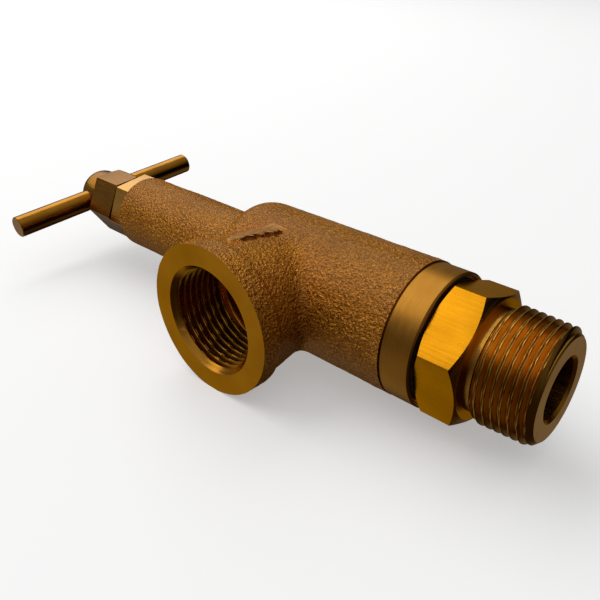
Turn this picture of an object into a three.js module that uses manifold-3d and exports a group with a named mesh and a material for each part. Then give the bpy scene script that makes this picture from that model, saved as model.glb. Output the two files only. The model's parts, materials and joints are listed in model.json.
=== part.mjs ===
// Spring-loaded angle pressure relief valve in cast bronze, in millimetres, +Z up.
// The valve axis is X. Stations along it are measured from the outlet's axis, and the
// last lines move the whole valve so that the centre of the inlet's end face is the origin.

import * as THREE from "three";
import { mergeVertices } from "three/addons/utils/BufferGeometryUtils.js";
import Module from "manifold-3d";

const wasm = await Module();
wasm.setup();

// Body casting
const BARREL_RADIUS = 16.3;
const BARREL_START = -17.6;
const SHOULDER_RADIUS = 5.6;
const BAND_RADIUS = 16.1;
const BAND_START = 37.6;
const BODY_END = 45.15;
const GASKET_SEAT_X = 44.4;
const GASKET_SEAT_RADIUS = 15.2;
const NECK_RADIUS = 10.7;
const NECK_END = -69.8;
const NECK_HEX_FLATS = 18.3;
const NECK_HEX_LENGTH = 6.0;
const NECK_HEX_TURN = -0.377;
const OUTLET_REACH = 30.66;
const COLLAR_RADIUS = 18.5;
const COLLAR_LENGTH = 6.0;
const COLLAR_STEP = 1.1;
const OUTLET_NECK_RADIUS = 17.3;
const OUTLET_ROOT_RADIUS = 14.5;
const OUTLET_BORE_RADIUS = 12.05;
const OUTLET_MOUTH_RADIUS = 13.46;
const OUTLET_THREAD_END = 14.5;
const OUTLET_RUNOUT = 1.0;

// Bores in the body, and the clearance of what slides or turns in them
const CHAMBER_RADIUS = 12.6;
const CHAMBER_START = -12.5;
const OUTLET_BORE_START = 5.0;
const SPRING_BORE_RADIUS = 8.3;
const SPRING_BORE_START = -59.5;
const SCREW_HOLE_RADIUS = 6.05;
const SLIDING_GAP = 0.1;
const FACE_GAP = 0.05;

// Inlet adapter: 3/4 taper pipe thread, hexagon, and nozzle inside the body
const INLET_END = 70.8;
const HEX_START = 45.2;
const HEX_END = 55.3;
const HEX_FLATS = 28.575;
const HEX_FACE_RADIUS = 13.9;
const HEX_CHAMFER_LENGTH = 1.65;
const HEX_TURN = 0.238;
const THREAD_RADIUS = 12.93;
const THREAD_TAPER = 1 / 32;
const THREAD_RELIEF_RADIUS = 11.9;
const THREAD_START = 57.1;
const THREAD_LEAD = 1.6;
const END_FACE_RADIUS = 11.4;
const NOZZLE_BORE_RADIUS = 6.87;
const BORE_CHAMFER = 0.66;
const SPIGOT_RADIUS = CHAMBER_RADIUS - SLIDING_GAP;
const SPIGOT_START = 31.0;
const NOZZLE_RADIUS = 10.3;
const NOZZLE_START = 18.0;

// Gasket between the body and the hexagon
const GASKET_OUTER_RADIUS = 14.7;
const GASKET_INNER_RADIUS = 12.75;

// Seat ring in the nozzle
const SEAT_FACE = 15.0;
const SEAT_LIP_RADIUS = 7.6;
const SEAT_LIP_HEIGHT = 0.8;
const SEAT_FLANGE_THICKNESS = 1.4;
const SEAT_SLEEVE_RADIUS = 8.6;
const SEAT_SLEEVE_END = 24.0;

// Poppet and what it carries
const POPPET_RADIUS = 10.2;
const POPPET_RIM = 14.2;
const POPPET_BACK = 3.5;
const POPPET_BACK_SLOPE = 1.5;
const SKIRT_CLEARANCE = 0.15;
const SKIRT_END = -24.0;
const SKIRT_INNER_RADIUS = 6.95;
const SPRING_FLOOR = 6.5;
const SEAL_RADIUS = 9.0;
const SEAL_THICKNESS = 3.0;
const SEAL_WASHER_RADIUS = 5.5;
const SEAL_WASHER_THICKNESS = 1.0;
const SEAL_SCREW_RADIUS = 2.5;
const SEAL_SCREW_HEAD_RADIUS = 4.0;
const SEAL_SCREW_HEAD_LENGTH = 2.6;
const SEAL_SCREW_LENGTH = 7.0;
const GUIDE_RING_START = -20.5;
const GUIDE_RING_LENGTH = 4.0;
const GUIDE_RING_THICKNESS = 0.75;
const LOWER_PLATE_RADIUS = 6.7;
const LOWER_PLATE_THICKNESS = 1.2;

// Spring and the button that loads it
const WIRE_RADIUS = 1.05;
const COIL_RADIUS = 5.45;
const COIL_COUNT = 11;
const CLOSED_COILS = 1.25;
const CLOSED_PITCH = 2.3;
const BUTTON_START = -49.5;
const BUTTON_LENGTH = 6.0;
const BUTTON_SPIGOT_RADIUS = 4.2;
const BUTTON_SPIGOT_LENGTH = 5.5;
const BUTTON_SPIGOT_TAPER = 0.6;
const GROOVE_START = -48.2;
const GROOVE_LENGTH = 2.7;
const GROOVE_RADIUS = 6.6;
const BUTTON_O_RING_SECTION = 0.8;
const BACKUP_RING_THICKNESS = 0.7;
const BALL_RADIUS = 2.5;
const BALL_X = -50.1;

// Adjusting screw, its handle bar and its locknut
const SCREW_RADIUS = 6.0;
const SCREW_TIP = -50.7;
const HEAD_START = -83.0;
const HEAD_RADIUS = 7.3;
const HEAD_LENGTH = 10.3;
const HEAD_DOME_LENGTH = 4.5;
const HEAD_CHAMFER = 0.6;
const SCREW_CHAMFER = 1.0;
const BAR_RADIUS = 3.2;
const BAR_X = -87.5;
const BAR_NEAR_REACH = 31.3;
const BAR_FAR_REACH = 32.9;
const BAR_TILT = 0.09;
const WASHER_RADIUS = 8.95;
const WASHER_HOLE_RADIUS = 6.4;
const WASHER_THICKNESS = 0.7;
const NUT_FLATS = 18.06;
const NUT_LENGTH = 10.8;
const NUT_TURN = 0.616;
const NUT_STOCK_RADIUS = 9.9;
const NUT_STOCK_OFFSET = 2.0;
const NUT_CHAMFER_LENGTH = 0.45;

// Facets round a full turn
const WIDE_FACETS = 48;
const SMALL_FACETS = 32;
const DOME_STEPS = 6;
const STEPS_PER_COIL = 12;
const WIRE_FACETS = 8;
const BALL_FACETS = 10;
const O_RING_FACETS = 8;

// Colours
const CAST_BRONZE = 0x9a6a35;
const MACHINED_BRASS = 0xb8862f;
const DARK_BRASS = 0x7d5418;
const STEEL = 0xb4b7ba;
const SPRING_STEEL = 0x8d9094;
const BLACK_RUBBER = 0x1a1a1a;
const WHITE_PLASTIC = 0xe9e6dc;

// A closed manifold solid from any closed three.js geometry.
function solidOf(geometry) {
  const bare = geometry.clone();
  bare.deleteAttribute("normal");
  bare.deleteAttribute("uv");
  const merged = mergeVertices(bare, 1e-5);
  const index = merged.index.array;
  const triangles = [];
  for (let i = 0; i < index.length; i += 3) {
    const [a, b, c] = [index[i], index[i + 1], index[i + 2]];
    if (a !== b && b !== c && c !== a) {
      triangles.push(a, b, c);
    }
  }
  return new wasm.Manifold(new wasm.Mesh({
    numProp: 3,
    vertProperties: new Float32Array(merged.attributes.position.array),
    triVerts: new Uint32Array(triangles),
  }));
}

// A three.js mesh from a manifold solid.
function piece(name, solid, color, metalness, roughness) {
  const result = solid.getMesh();
  const geometry = new THREE.BufferGeometry();
  geometry.setAttribute("position", new THREE.BufferAttribute(result.vertProperties, 3));
  geometry.setIndex(new THREE.BufferAttribute(result.triVerts, 1));
  geometry.computeVertexNormals();
  const material = new THREE.MeshStandardMaterial({ color, metalness, roughness });
  const mesh = new THREE.Mesh(geometry, material);
  mesh.name = name;
  return mesh;
}

// A solid of revolution about the X axis. The profile's [x, radius] points run towards +X
// on the outside and back on the inside; it starts and ends on the axis or at one point.
function turned(profile, facets = WIDE_FACETS) {
  const points = profile.map(([x, radius]) => new THREE.Vector2(radius, x));
  const geometry = new THREE.LatheGeometry(points, facets);
  geometry.rotateZ(-Math.PI / 2);
  return solidOf(geometry);
}

function rod(start, end, radius, facets = WIDE_FACETS) {
  return turned([[start, 0], [start, radius], [end, radius], [end, 0]], facets);
}

function ring(start, end, inner, outer, facets = SMALL_FACETS) {
  return turned([[start, inner], [start, outer], [end, outer], [end, inner], [start, inner]], facets);
}

// The same as turned, about the outlet's axis, which points towards -Y.
function turnedTowardsOutlet(profile) {
  const points = profile.map(([reach, radius]) => new THREE.Vector2(radius, reach));
  const geometry = new THREE.LatheGeometry(points, WIDE_FACETS);
  geometry.rotateX(Math.PI);
  return solidOf(geometry);
}

// A hexagonal bar along X, with its first corner turned from +Z about the X axis.
function hexagon(start, end, acrossFlats, turn) {
  const radius = acrossFlats / Math.sqrt(3);
  const geometry = new THREE.CylinderGeometry(radius, radius, end - start, 6);
  geometry.rotateZ(-Math.PI / 2);
  geometry.rotateX(turn);
  geometry.translate((start + end) / 2, 0, 0);
  return solidOf(geometry);
}

// Points on a quarter arc between two [x, radius] points, round the given centre.
function arc([x0, r0], [cx, cr], sweep, steps) {
  const points = [];
  for (let i = 0; i <= steps; i += 1) {
    const angle = (sweep * i) / steps;
    const dx = x0 - cx;
    const dr = r0 - cr;
    points.push([
      cx + dx * Math.cos(angle) - dr * Math.sin(angle),
      cr + dx * Math.sin(angle) + dr * Math.cos(angle),
    ]);
  }
  return points;
}

// Body -----------------------------------------------------------------------------------

function bodyBarrel() {
  const shoulderBottom = BARREL_RADIUS - SHOULDER_RADIUS;
  const shoulderX = BARREL_START + SHOULDER_RADIUS;
  const shoulder = arc([BARREL_START, shoulderBottom], [shoulderX, shoulderBottom], -Math.PI / 2, DOME_STEPS);
  return turned([
    [NECK_END, 0],
    [NECK_END, NECK_RADIUS],
    [BARREL_START - 0.01, NECK_RADIUS],
    ...shoulder,
    [BAND_START, BARREL_RADIUS],
    [BAND_START, BAND_RADIUS],
    [BODY_END, BAND_RADIUS],
    [BODY_END, 0],
  ]);
}

function outletBoss() {
  const collarBack = OUTLET_REACH - COLLAR_LENGTH;
  return turnedTowardsOutlet([
    [0, 0],
    [0, OUTLET_ROOT_RADIUS],
    [collarBack - COLLAR_STEP, OUTLET_NECK_RADIUS],
    [collarBack, COLLAR_RADIUS],
    [OUTLET_REACH, COLLAR_RADIUS],
    [OUTLET_REACH, 0],
  ]);
}

function outletPort() {
  const chamfer = OUTLET_MOUTH_RADIUS - OUTLET_BORE_RADIUS;
  return turnedTowardsOutlet([
    [OUTLET_BORE_START, 0],
    [OUTLET_BORE_START, OUTLET_BORE_RADIUS - OUTLET_RUNOUT],
    [OUTLET_THREAD_END, OUTLET_BORE_RADIUS - OUTLET_RUNOUT],
    [OUTLET_THREAD_END, OUTLET_BORE_RADIUS],
    [OUTLET_REACH - chamfer, OUTLET_BORE_RADIUS],
    [OUTLET_REACH + chamfer, OUTLET_MOUTH_RADIUS + chamfer],
    [OUTLET_REACH + chamfer, 0],
  ]);
}

function neckHexCutter() {
  const start = NECK_END - 1;
  const end = NECK_END + NECK_HEX_LENGTH;
  const outside = rod(start, end, NECK_RADIUS + 2);
  return outside.subtract(hexagon(start - 1, end + 1, NECK_HEX_FLATS, NECK_HEX_TURN));
}

function bodyCasting() {
  const bores = turned([
    [NECK_END - 1, 0],
    [NECK_END - 1, SCREW_HOLE_RADIUS],
    [SPRING_BORE_START, SCREW_HOLE_RADIUS],
    [SPRING_BORE_START, SPRING_BORE_RADIUS],
    [CHAMBER_START, SPRING_BORE_RADIUS],
    [CHAMBER_START, CHAMBER_RADIUS],
    [GASKET_SEAT_X, CHAMBER_RADIUS],
    [GASKET_SEAT_X, GASKET_SEAT_RADIUS],
    [BODY_END + 1, GASKET_SEAT_RADIUS],
    [BODY_END + 1, 0],
  ]);
  const solid = bodyBarrel().add(outletBoss())
    .subtract(neckHexCutter())
    .subtract(bores)
    .subtract(outletPort());
  return piece("body_casting", solid, CAST_BRONZE, 0.6, 0.65);
}

function inletAdapter() {
  const threadRoot = THREAD_RADIUS + (INLET_END - THREAD_START) * THREAD_TAPER;
  const threadTip = THREAD_RADIUS + THREAD_LEAD * THREAD_TAPER;
  const sleeveHole = SEAT_SLEEVE_RADIUS + SLIDING_GAP;
  const hexChamfer = turned([
    [HEX_START, 0],
    [HEX_START, HEX_FACE_RADIUS],
    [HEX_START + HEX_CHAMFER_LENGTH, HEX_FACE_RADIUS + HEX_CHAMFER_LENGTH * Math.sqrt(3)],
    [HEX_END - HEX_CHAMFER_LENGTH, HEX_FACE_RADIUS + HEX_CHAMFER_LENGTH * Math.sqrt(3)],
    [HEX_END, HEX_FACE_RADIUS],
    [HEX_END, 0],
  ]);
  const hex = hexagon(HEX_START, HEX_END, HEX_FLATS, HEX_TURN).intersect(hexChamfer);
  const shank = turned([
    [NOZZLE_START, 0],
    [NOZZLE_START, NOZZLE_RADIUS],
    [SPIGOT_START, NOZZLE_RADIUS],
    [SPIGOT_START, SPIGOT_RADIUS],
    [HEX_START + 1, SPIGOT_RADIUS],
    [HEX_START + 1, THREAD_RELIEF_RADIUS],
    [THREAD_START, THREAD_RELIEF_RADIUS],
    [THREAD_START, threadRoot],
    [INLET_END - THREAD_LEAD, threadTip],
    [INLET_END, END_FACE_RADIUS],
    [INLET_END, 0],
  ]);
  const bore = turned([
    [NOZZLE_START - 1, 0],
    [NOZZLE_START - 1, sleeveHole],
    [SEAT_SLEEVE_END + FACE_GAP, sleeveHole],
    [SEAT_SLEEVE_END + FACE_GAP, NOZZLE_BORE_RADIUS],
    [INLET_END - BORE_CHAMFER, NOZZLE_BORE_RADIUS],
    [INLET_END + BORE_CHAMFER, NOZZLE_BORE_RADIUS + 2 * BORE_CHAMFER],
    [INLET_END + BORE_CHAMFER, 0],
  ]);
  return piece("inlet_adapter", hex.add(shank).subtract(bore), MACHINED_BRASS, 0.85, 0.35);
}

function adapterGasket() {
  const solid = ring(GASKET_SEAT_X + FACE_GAP, HEX_START - FACE_GAP, GASKET_INNER_RADIUS, GASKET_OUTER_RADIUS);
  return piece("adapter_gasket", solid, BLACK_RUBBER, 0.0, 0.8);
}

function seatRing() {
  const flangeStart = SEAT_FACE + SEAT_LIP_HEIGHT;
  const flangeEnd = flangeStart + SEAT_FLANGE_THICKNESS;
  const solid = turned([
    [SEAT_FACE, NOZZLE_BORE_RADIUS],
    [SEAT_FACE, SEAT_LIP_RADIUS],
    [flangeStart, SEAT_LIP_RADIUS + SEAT_LIP_HEIGHT / 2],
    [flangeStart, NOZZLE_RADIUS],
    [flangeEnd, NOZZLE_RADIUS],
    [flangeEnd, SEAT_SLEEVE_RADIUS],
    [SEAT_SLEEVE_END, SEAT_SLEEVE_RADIUS],
    [SEAT_SLEEVE_END, NOZZLE_BORE_RADIUS],
    [SEAT_FACE, NOZZLE_BORE_RADIUS],
  ], SMALL_FACETS);
  return piece("seat_ring", solid, STEEL, 0.9, 0.3);
}

function seatGasket() {
  const start = SEAT_FACE + SEAT_LIP_HEIGHT + SEAT_FLANGE_THICKNESS + FACE_GAP;
  const inner = SEAT_SLEEVE_RADIUS + SLIDING_GAP;
  const solid = ring(start, NOZZLE_START - FACE_GAP, inner, NOZZLE_RADIUS);
  return piece("seat_gasket", solid, BLACK_RUBBER, 0.0, 0.8);
}

// Poppet ---------------------------------------------------------------------------------

function poppet() {
  const skirtRadius = SPRING_BORE_RADIUS - SKIRT_CLEARANCE;
  const sealFloor = SEAT_FACE - FACE_GAP - SEAL_THICKNESS - FACE_GAP;
  const grooveRadius = skirtRadius - GUIDE_RING_THICKNESS;
  const outside = turned([
    [SKIRT_END, SKIRT_INNER_RADIUS],
    [SKIRT_END, skirtRadius],
    [GUIDE_RING_START, skirtRadius],
    [GUIDE_RING_START, grooveRadius],
    [GUIDE_RING_START + GUIDE_RING_LENGTH, grooveRadius],
    [GUIDE_RING_START + GUIDE_RING_LENGTH, skirtRadius],
    [POPPET_BACK, skirtRadius],
    [POPPET_BACK + POPPET_BACK_SLOPE, POPPET_RADIUS],
    [POPPET_RIM, POPPET_RADIUS],
    [POPPET_RIM, SEAL_RADIUS + FACE_GAP],
    [sealFloor, SEAL_RADIUS + FACE_GAP],
    [sealFloor, SEAL_SCREW_RADIUS + FACE_GAP],
    [SPRING_FLOOR, SEAL_SCREW_RADIUS + FACE_GAP],
    [SPRING_FLOOR, SKIRT_INNER_RADIUS],
    [SKIRT_END, SKIRT_INNER_RADIUS],
  ]);
  return piece("poppet", outside, MACHINED_BRASS, 0.85, 0.35);
}

function sealDisc() {
  const end = SEAT_FACE - FACE_GAP;
  const solid = ring(end - SEAL_THICKNESS, end, SEAL_SCREW_RADIUS + FACE_GAP, SEAL_RADIUS);
  return piece("seal_disc", solid, WHITE_PLASTIC, 0.0, 0.5);
}

function sealWasher() {
  const start = SEAT_FACE;
  const solid = ring(start, start + SEAL_WASHER_THICKNESS, SEAL_SCREW_RADIUS + FACE_GAP, SEAL_WASHER_RADIUS);
  return piece("seal_washer", solid, STEEL, 0.9, 0.3);
}

function sealScrew() {
  const seat = SEAT_FACE + SEAL_WASHER_THICKNESS + FACE_GAP;
  const top = seat + SEAL_SCREW_HEAD_LENGTH;
  const socket = hexagon(top - SEAL_SCREW_HEAD_LENGTH / 2, top + 1, SEAL_SCREW_HEAD_RADIUS, 0);
  const solid = turned([
    [seat - SEAL_SCREW_LENGTH, 0],
    [seat - SEAL_SCREW_LENGTH, SEAL_SCREW_RADIUS],
    [seat, SEAL_SCREW_RADIUS],
    [seat, SEAL_SCREW_HEAD_RADIUS],
    [top, SEAL_SCREW_HEAD_RADIUS],
    [top, 0],
  ], SMALL_FACETS);
  return piece("seal_screw", solid.subtract(socket), STEEL, 0.9, 0.3);
}

function guideRing() {
  const outer = SPRING_BORE_RADIUS - FACE_GAP;
  const inner = SPRING_BORE_RADIUS - SKIRT_CLEARANCE - GUIDE_RING_THICKNESS + FACE_GAP / 2;
  const start = GUIDE_RING_START + FACE_GAP;
  const solid = ring(start, start + GUIDE_RING_LENGTH - 2 * FACE_GAP, inner, outer, WIDE_FACETS);
  return piece("guide_ring", solid, WHITE_PLASTIC, 0.0, 0.5);
}

function lowerSpringPlate() {
  const end = SPRING_FLOOR - FACE_GAP;
  const solid = ring(end - LOWER_PLATE_THICKNESS, end, SEAL_SCREW_RADIUS, LOWER_PLATE_RADIUS);
  return piece("lower_spring_plate", solid, STEEL, 0.9, 0.4);
}

// Spring ---------------------------------------------------------------------------------

class SpringPath extends THREE.Curve {
  constructor(start, end) {
    super();
    this.start = start;
    this.end = end;
  }

  getPoint(t, target = new THREE.Vector3()) {
    const turn = t * COIL_COUNT;
    const openLength = this.end - this.start - 2 * CLOSED_COILS * CLOSED_PITCH;
    const openPitch = openLength / (COIL_COUNT - 2 * CLOSED_COILS);
    const first = Math.min(turn, CLOSED_COILS) * CLOSED_PITCH;
    const open = THREE.MathUtils.clamp(turn - CLOSED_COILS, 0, COIL_COUNT - 2 * CLOSED_COILS) * openPitch;
    const last = Math.max(turn - COIL_COUNT + CLOSED_COILS, 0) * CLOSED_PITCH;
    const angle = 2 * Math.PI * turn;
    return target.set(
      this.start + first + open + last,
      COIL_RADIUS * Math.cos(angle),
      COIL_RADIUS * Math.sin(angle),
    );
  }
}

function spring() {
  const start = BUTTON_START + BUTTON_LENGTH + WIRE_RADIUS + SLIDING_GAP;
  const end = SPRING_FLOOR - FACE_GAP - LOWER_PLATE_THICKNESS - WIRE_RADIUS - SLIDING_GAP;
  const section = new THREE.Shape();
  section.absarc(0, 0, WIRE_RADIUS, 0, 2 * Math.PI);
  const geometry = new THREE.ExtrudeGeometry(section, {
    steps: COIL_COUNT * STEPS_PER_COIL,
    curveSegments: WIRE_FACETS / 2,
    extrudePath: new SpringPath(start, end),
  });
  return piece("spring", solidOf(geometry), SPRING_STEEL, 0.9, 0.35);
}

function springButton() {
  const end = BUTTON_START + BUTTON_LENGTH;
  const outer = SPRING_BORE_RADIUS - SLIDING_GAP;
  const socket = BALL_RADIUS + FACE_GAP;
  const solid = turned([
    [BALL_X + socket, 0],
    [BALL_X + socket, socket],
    [BUTTON_START, socket],
    [BUTTON_START, outer],
    [GROOVE_START, outer],
    [GROOVE_START, GROOVE_RADIUS],
    [GROOVE_START + GROOVE_LENGTH, GROOVE_RADIUS],
    [GROOVE_START + GROOVE_LENGTH, outer],
    [end, outer],
    [end, BUTTON_SPIGOT_RADIUS],
    [end + BUTTON_SPIGOT_LENGTH, BUTTON_SPIGOT_RADIUS - BUTTON_SPIGOT_TAPER],
    [end + BUTTON_SPIGOT_LENGTH, 0],
  ]);
  return piece("spring_button", solid, MACHINED_BRASS, 0.85, 0.35);
}

function buttonORing() {
  const center = GROOVE_START + FACE_GAP + BUTTON_O_RING_SECTION;
  const geometry = new THREE.TorusGeometry(
    GROOVE_RADIUS + FACE_GAP + BUTTON_O_RING_SECTION,
    BUTTON_O_RING_SECTION,
    O_RING_FACETS,
    SMALL_FACETS,
  );
  geometry.rotateY(Math.PI / 2);
  geometry.translate(center, 0, 0);
  return piece("button_o_ring", solidOf(geometry), BLACK_RUBBER, 0.0, 0.8);
}

function buttonBackupRing() {
  const end = GROOVE_START + GROOVE_LENGTH - FACE_GAP;
  const outer = SPRING_BORE_RADIUS - FACE_GAP;
  const solid = ring(end - BACKUP_RING_THICKNESS, end, GROOVE_RADIUS + FACE_GAP, outer);
  return piece("button_backup_ring", solid, WHITE_PLASTIC, 0.0, 0.5);
}

function thrustBall() {
  const geometry = new THREE.SphereGeometry(BALL_RADIUS, 2 * BALL_FACETS, BALL_FACETS);
  geometry.translate(BALL_X, 0, 0);
  return piece("thrust_ball", solidOf(geometry), STEEL, 1.0, 0.15);
}

// Adjusting screw ------------------------------------------------------------------------

// A round bar square to the valve axis, tilted about it, from the near reach to the far one.
function crossBar(radius, near, far) {
  const geometry = new THREE.CylinderGeometry(radius, radius, near + far, SMALL_FACETS);
  geometry.translate(0, (far - near) / 2, 0);
  geometry.rotateX(BAR_TILT);
  geometry.translate(BAR_X, 0, 0);
  return solidOf(geometry);
}

function adjustingScrew() {
  const headEnd = HEAD_START - HEAD_LENGTH;
  const domeEdge = headEnd + HEAD_DOME_LENGTH;
  const socket = BALL_RADIUS + FACE_GAP;
  const dome = [];
  for (let i = 0; i <= DOME_STEPS; i += 1) {
    const angle = (i / DOME_STEPS) * (Math.PI / 2);
    dome.push([
      domeEdge - HEAD_DOME_LENGTH * Math.cos(angle),
      HEAD_RADIUS * Math.sin(angle),
    ]);
  }
  const solid = turned([
    ...dome,
    [HEAD_START - HEAD_CHAMFER, HEAD_RADIUS],
    [HEAD_START, HEAD_RADIUS - HEAD_CHAMFER],
    [HEAD_START, SCREW_RADIUS],
    [SCREW_TIP - SCREW_CHAMFER, SCREW_RADIUS],
    [SCREW_TIP, SCREW_RADIUS - SCREW_CHAMFER],
    [SCREW_TIP, socket],
    [BALL_X - socket, socket],
    [BALL_X - socket, 0],
  ], SMALL_FACETS);
  const hole = crossBar(BAR_RADIUS + FACE_GAP, HEAD_RADIUS * 2, HEAD_RADIUS * 2);
  return piece("adjusting_screw", solid.subtract(hole), DARK_BRASS, 0.85, 0.35);
}

function handleBar() {
  return piece("t_bar", crossBar(BAR_RADIUS, BAR_NEAR_REACH, BAR_FAR_REACH), DARK_BRASS, 0.85, 0.3);
}

function locknutWasher() {
  const end = NECK_END - FACE_GAP;
  const solid = ring(end - WASHER_THICKNESS, end, WASHER_HOLE_RADIUS, WASHER_RADIUS);
  return piece("locknut_washer", solid, DARK_BRASS, 0.7, 0.6);
}

function locknut() {
  const inner = NECK_END - 2 * FACE_GAP - WASHER_THICKNESS;
  const outer = inner - NUT_LENGTH;
  const faceRadius = NUT_STOCK_RADIUS - NUT_CHAMFER_LENGTH * Math.sqrt(3);
  const stock = turned([
    [outer, 0],
    [outer, faceRadius],
    [outer + NUT_CHAMFER_LENGTH, NUT_STOCK_RADIUS],
    [inner - NUT_CHAMFER_LENGTH, NUT_STOCK_RADIUS],
    [inner, faceRadius],
    [inner, 0],
  ]).translate([0, -NUT_STOCK_OFFSET, 0]);
  const hole = rod(outer - 1, inner + 1, SCREW_HOLE_RADIUS);
  const solid = hexagon(outer, inner, NUT_FLATS, NUT_TURN).intersect(stock).subtract(hole);
  return piece("locknut", solid, DARK_BRASS, 0.85, 0.35);
}

// Assembly -------------------------------------------------------------------------------

const assembly = new THREE.Group();
assembly.position.set(-INLET_END, 0, 0);
assembly.add(
  bodyCasting(),
  inletAdapter(),
  adapterGasket(),
  seatRing(),
  seatGasket(),
  poppet(),
  sealDisc(),
  sealWasher(),
  sealScrew(),
  guideRing(),
  lowerSpringPlate(),
  spring(),
  springButton(),
  buttonORing(),
  buttonBackupRing(),
  thrustBall(),
  adjustingScrew(),
  handleBar(),
  locknutWasher(),
  locknut(),
);

const valve = new THREE.Group();
valve.add(assembly);

export default valve;
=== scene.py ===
"""Looks of a cast bronze angle relief valve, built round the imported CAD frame.

Shapes are built in millimetres, in the valve's own coordinates: X runs along the valve
axis from the outlet's axis towards the inlet, the outlet points towards -Y, and Z is up.
to_frame() turns them into metres in the shared frame.
"""
import json
import math

import bmesh
import bpy
import numpy as np
import openvdb
from mathutils import Matrix, Vector


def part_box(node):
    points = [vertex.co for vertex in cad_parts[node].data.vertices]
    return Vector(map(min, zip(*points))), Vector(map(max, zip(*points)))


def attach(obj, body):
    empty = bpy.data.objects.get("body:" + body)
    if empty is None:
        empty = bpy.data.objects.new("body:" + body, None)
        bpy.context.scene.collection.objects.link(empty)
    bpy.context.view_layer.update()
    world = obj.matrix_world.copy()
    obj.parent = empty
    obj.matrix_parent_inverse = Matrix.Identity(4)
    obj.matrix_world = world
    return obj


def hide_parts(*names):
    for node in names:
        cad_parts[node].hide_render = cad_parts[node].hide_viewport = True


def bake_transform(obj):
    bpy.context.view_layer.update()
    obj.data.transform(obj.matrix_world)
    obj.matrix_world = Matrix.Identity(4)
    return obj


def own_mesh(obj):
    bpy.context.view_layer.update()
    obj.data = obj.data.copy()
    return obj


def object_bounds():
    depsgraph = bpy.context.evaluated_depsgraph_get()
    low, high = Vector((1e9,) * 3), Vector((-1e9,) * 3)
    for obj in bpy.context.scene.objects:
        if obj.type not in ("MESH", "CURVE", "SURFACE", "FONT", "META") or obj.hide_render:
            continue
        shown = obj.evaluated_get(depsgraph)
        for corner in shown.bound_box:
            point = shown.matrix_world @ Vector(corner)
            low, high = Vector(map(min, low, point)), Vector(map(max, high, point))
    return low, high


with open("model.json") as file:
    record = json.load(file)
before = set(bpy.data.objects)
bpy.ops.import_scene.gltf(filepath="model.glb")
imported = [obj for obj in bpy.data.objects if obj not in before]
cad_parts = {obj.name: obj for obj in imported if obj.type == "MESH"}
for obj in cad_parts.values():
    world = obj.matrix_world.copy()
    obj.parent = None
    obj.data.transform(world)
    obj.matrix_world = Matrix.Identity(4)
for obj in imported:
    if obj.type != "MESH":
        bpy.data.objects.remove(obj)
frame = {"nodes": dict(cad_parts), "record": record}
CAD_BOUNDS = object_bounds()
MM = 0.001


def mount(name):
    """A mount of the part, from its record."""
    return next(m for m in frame["record"]["mounts"] if m["name"] == name)


def along(node):
    """The lowest and highest x of a CAD node, in millimetres from the outlet's axis."""
    low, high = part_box(node)
    return (low[0] - OUTLET_X) / MM, (high[0] - OUTLET_X) / MM


# Places that the CAD frame gives
OUTLET_X = mount("outlet_face")["pos_m"][0]
OUTLET_REACH = -mount("outlet_face")["pos_m"][1] / MM
NECK_END, BODY_END = along("body_casting")
ADAPTER_INNER, INLET_END = along("inlet_adapter")
GASKET_START, GASKET_END = along("adapter_gasket")
WASHER_START, WASHER_END = along("locknut_washer")
NUT_START, NUT_END = along("locknut")
HEAD_END, SCREW_TIP = along("adjusting_screw")
SPRING_START, SPRING_END = along("spring")
FLOOR_Z = CAD_BOUNDS[0][2]

# Casting
BARREL_RADIUS = 16.3
BARREL_START = -17.8
SHOULDER_RADIUS = 5.8
BARREL_OFFSET_Y = -0.10
BARREL_OFFSET_Z = 0.16
NECK_RADIUS = 10.7
NECK_ROUNDING = 1.0
NECK_INNER_END = 10
COLLAR_RADIUS = 18.5
COLLAR_BACK = OUTLET_REACH - 5.9
COLLAR_ROUNDING = 1.3
OUTLET_ROOT_RADIUS = 14.33
OUTLET_FLARE = 0.13

# Widths over which the cast shapes are joined smoothly
NECK_JOIN = 0.8
COLLAR_JOIN = 0.3
OUTLET_JOIN = 2.4
GATE_JOIN = 0.8

# How far the cast shapes run on past the machined ends, unless the grid ends them sooner
INLET_STOCK = 12
NECK_STOCK = 8
OUTLET_STOCK = 6

# How far the cutters reach past the machined ends and sides
CUT_PAST_END = 9
CUT_PAST_OUTLET = 8
CUT_PAST_SIDE = 4
CUT_PAST_BAND = 6
CUT_PAST_HEX = 2

# How far joined or cut solids reach past each other, and how little past a face they trim
OVERLAP = 1
SLIVER = 0.001

# Unevenness of the cast skin in layers: spacing of the bumps, and their height
SKIN_NOISE = ((9.0, 0.05), (2.2, 0.022), (0.8, 0.030))
NOISE_SEED = 11

# The grid that the casting is worked out on: its step, and its margin at the ends and sides
VOXEL = 0.30
GRID_END_MARGIN = 2.5
GRID_SIDE_MARGIN = 1.5

# The ground-off gate, a ribbon along the top of the outlet's neck. It runs in y, its left edge
# is bowed and its right edge is slanted, each about a middle, and its flattest part is rubbed.
GATE_START = -22.5
GATE_END = -6.0
GATE_HEIGHT = 0.42
GATE_LOWEST = 13.0
GATE_LEFT = -4.2
GATE_LEFT_BOW = 2.4
GATE_LEFT_MIDDLE = -11.5
GATE_LEFT_SPAN = 10
GATE_RIGHT = 0.75
GATE_RIGHT_SLANT = 0.09
GATE_RIGHT_MIDDLE = -14
GATE_RUBBED_SHARE = 0.55
GATE_RUBBED_TILT = 0.85

# Its torn right edge: height of the teeth, where they grow, and strength, spacing and place of each set
TEETH_HEIGHT = 0.32
TEETH_START = -19
TEETH_RUN_IN = 1.5
TEETH_LEAST = 0.2
TEETH = ((1.0, 3.2, -13.05), (0.8, 1.9, -12.2))

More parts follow.
